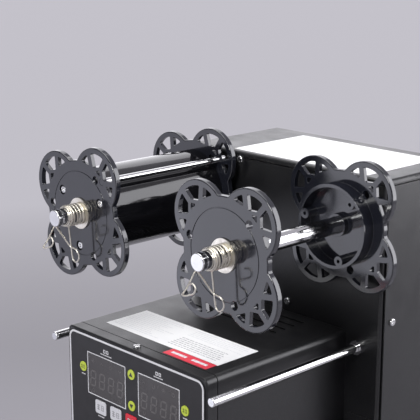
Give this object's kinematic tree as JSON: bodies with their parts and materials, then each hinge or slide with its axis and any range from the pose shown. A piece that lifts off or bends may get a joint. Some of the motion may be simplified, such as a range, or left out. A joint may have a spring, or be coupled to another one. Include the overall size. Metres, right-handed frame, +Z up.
{
  "type": "cup sealing machine",
  "caption": "Table-top cup sealing machine: film reels over a control head, heated press, sliding cup tray, rear cabinet.",
  "frame": {"origin": "middle of the bounding box at the feet's floor level", "axes": "+X to the operator's right, +Y to the back of the machine, +Z up"},
  "size_m": [0.3046, 0.3146, 0.5635],
  "materials": {
    "case_paint": "satin black powder coat, fine texture",
    "zinc_steel": "zinc plated",
    "tray_steel": "brushed",
    "bright_steel": "bright chrome",
    "nickel_wire": "bright nickel with a warm tint",
    "screw_metal": "nickel plated",
    "flange_plastic": "semi-gloss dark slate moulding",
    "drum_plastic": "high gloss black",
    "overlay": "fine matte printed film",
    "key_green": "matte",
    "key_white": "matte",
    "key_red": "matte",
    "board": "solder mask",
    "motor_steel": "plated",
    "bush_bronze": "turned",
    "cast_aluminium": "turned",
    "black_plastic": "fine texture",
    "rubber_black": "matte"
  },
  "bodies": {
    "frame": {"base_pan": "case_paint", "rubber_feet": "rubber_black", "cabinet_face": "case_paint", "cabinet_back": "case_paint", "cabinet_lid": "case_paint", "side_panel_left": "case_paint", "side_panel_right": "case_paint", "bearing_plate": "zinc_steel", "head_shell": "case_paint", "head_front_cap": "case_paint", "head_bottom_plate": "case_paint", "panel_overlay": "overlay", "control_board": "board", "press_bracket": "zinc_steel", "guide_columns": "bright_steel", "gear_motors": "motor_steel", "table_frame": "case_paint", "tray_rails": "zinc_steel", "shaft_bearings": "bush_bronze", "guide_spindles": "bright_steel", "sensor_bracket": "case_paint", "photo_eye": "black_plastic", "power_supply": "cast_aluminium", "power_entry": "black_plastic", "case_screws": "screw_metal"},
    "press": {"press_carriage": "zinc_steel", "heater_block": "cast_aluminium", "cutter_ring": "motor_steel", "return_springs": "nickel_wire"},
    "follower": {"cam_follower": "motor_steel"},
    "cam": {"press_cam": "motor_steel"},
    "tray": {"tray_plate": "tray_steel", "cup_ring": "cast_aluminium"},
    "lead_screw": {"tray_screw": "bright_steel"},
    "supply_reel": {"supply_shaft": "bright_steel", "supply_rear_flange": "flange_plastic", "supply_spring": "nickel_wire", "supply_clip": "nickel_wire"},
    "supply_front": {"supply_front_flange": "flange_plastic", "supply_washer": "nickel_wire"},
    "take_up_reel": {"take_up_shaft": "bright_steel", "take_up_rear_flange": "flange_plastic", "take_up_spring": "nickel_wire", "take_up_clip": "nickel_wire"},
    "take_up_front": {"take_up_front_flange": "flange_plastic", "take_up_drum": "drum_plastic", "take_up_clamp_bar": "bright_steel", "take_up_washer": "nickel_wire"},
    "sleeve_left": {"guide_sleeve_left": "bright_steel"},
    "sleeve_right": {"guide_sleeve_right": "bright_steel"},
    "switch_rocker": {"rocker": "black_plastic"},
    "key_up_body": {"key_up": "key_green"},
    "key_down_body": {"key_down": "key_green"},
    "key_set_body": {"key_set": "key_green"},
    "key_clear_body": {"key_clear": "key_green"},
    "key_manual_body": {"key_manual": "key_white"},
    "key_auto_body": {"key_auto": "key_white"},
    "key_stop_body": {"key_stop": "key_red"},
    "key_film_body": {"key_film": "key_white"},
    "key_count_body": {"key_count": "key_white"}
  },
  "joints": [
    {"name": "tray_slide", "type": "slide", "parent": "frame", "child": "tray", "axis": [0, -1, 0], "range_m": [0, 0.14]},
    {"name": "screw_turn", "type": "hinge", "parent": "frame", "child": "lead_screw", "pos_m": [0.078, 0, 0.212], "axis": [0, 1, 0], "range_deg": [0, 2530]},
    {"name": "press_slide", "type": "slide", "parent": "frame", "child": "press", "axis": [0, 0, -1], "range_m": [0, 0.02], "stiffness_N_per_m": 800, "springref_m": -0.03, "deforming": ["return_springs"]},
    {"name": "cam_turn", "type": "hinge", "parent": "frame", "child": "cam", "pos_m": [0, -0.04635, 0.3257], "axis": [0, 1, 0], "range_deg": [0, 150.5]},
    {"name": "follower_spin", "type": "hinge", "parent": "press", "child": "follower", "pos_m": [0, -0.04635, 0.3], "axis": [0, 1, 0], "continuous": true},
    {"name": "supply_spin", "type": "hinge", "parent": "frame", "child": "supply_reel", "pos_m": [0.092, 0, 0.5016], "axis": [0, 1, 0], "continuous": true},
    {"name": "supply_float", "type": "slide", "parent": "supply_reel", "child": "supply_front", "axis": [0, -1, 0], "range_m": [0, 0.006], "stiffness_N_per_m": 900, "springref_m": -0.008, "deforming": ["supply_spring"]},
    {"name": "take_up_spin", "type": "hinge", "parent": "frame", "child": "take_up_reel", "pos_m": [-0.092, 0, 0.5016], "axis": [0, 1, 0], "continuous": true},
    {"name": "take_up_float", "type": "slide", "parent": "take_up_reel", "child": "take_up_front", "axis": [0, -1, 0], "range_m": [0, 0.006], "stiffness_N_per_m": 900, "springref_m": -0.008, "deforming": ["take_up_spring"]},
    {"name": "sleeve_left_spin", "type": "hinge", "parent": "frame", "child": "sleeve_left", "pos_m": [-0.101, 0, 0.3895], "axis": [0, 1, 0], "continuous": true},
    {"name": "sleeve_right_spin", "type": "hinge", "parent": "frame", "child": "sleeve_right", "pos_m": [0.105, 0, 0.3895], "axis": [0, 1, 0], "continuous": true},
    {"name": "rocker_tilt", "type": "hinge", "parent": "frame", "child": "switch_rocker", "pos_m": [0.08, 0.1525, 0.1125], "axis": [1, 0, 0], "range_deg": [0, 20]},
    {"name": "key_up_press", "type": "slide", "parent": "frame", "child": "key_up_body", "axis": [0, 1, 0], "range_m": [0, 0.0005], "stiffness_N_per_m": 1500, "springref_m": -0.0002},
    {"name": "key_down_press", "type": "slide", "parent": "frame", "child": "key_down_body", "axis": [0, 1, 0], "range_m": [0, 0.0005], "stiffness_N_per_m": 1500, "springref_m": -0.0002},
    {"name": "key_set_press", "type": "slide", "parent": "frame", "child": "key_set_body", "axis": [0, 1, 0], "range_m": [0, 0.0005], "stiffness_N_per_m": 1500, "springref_m": -0.0002},
    {"name": "key_clear_press", "type": "slide", "parent": "frame", "child": "key_clear_body", "axis": [0, 1, 0], "range_m": [0, 0.0005], "stiffness_N_per_m": 1500, "springref_m": -0.0002},
    {"name": "key_manual_press", "type": "slide", "parent": "frame", "child": "key_manual_body", "axis": [0, 1, 0], "range_m": [0, 0.0005], "stiffness_N_per_m": 1500, "springref_m": -0.0002},
    {"name": "key_auto_press", "type": "slide", "parent": "frame", "child": "key_auto_body", "axis": [0, 1, 0], "range_m": [0, 0.0005], "stiffness_N_per_m": 1500, "springref_m": -0.0002},
    {"name": "key_stop_press", "type": "slide", "parent": "frame", "child": "key_stop_body", "axis": [0, 1, 0], "range_m": [0, 0.0005], "stiffness_N_per_m": 1500, "springref_m": -0.0002},
    {"name": "key_film_press", "type": "slide", "parent": "frame", "child": "key_film_body", "axis": [0, 1, 0], "range_m": [0, 0.0005], "stiffness_N_per_m": 1500, "springref_m": -0.0002},
    {"name": "key_count_press", "type": "slide", "parent": "frame", "child": "key_count_body", "axis": [0, 1, 0], "range_m": [0, 0.0005], "stiffness_N_per_m": 1500, "springref_m": -0.0002}
  ],
  "couplings": [
    {"joint": "screw_turn", "follows": "tray_slide", "rad_per_m": 314.16},
    {"joint": "cam_turn", "follows": "press_slide", "rad_per_m": 130.9}
  ]
}
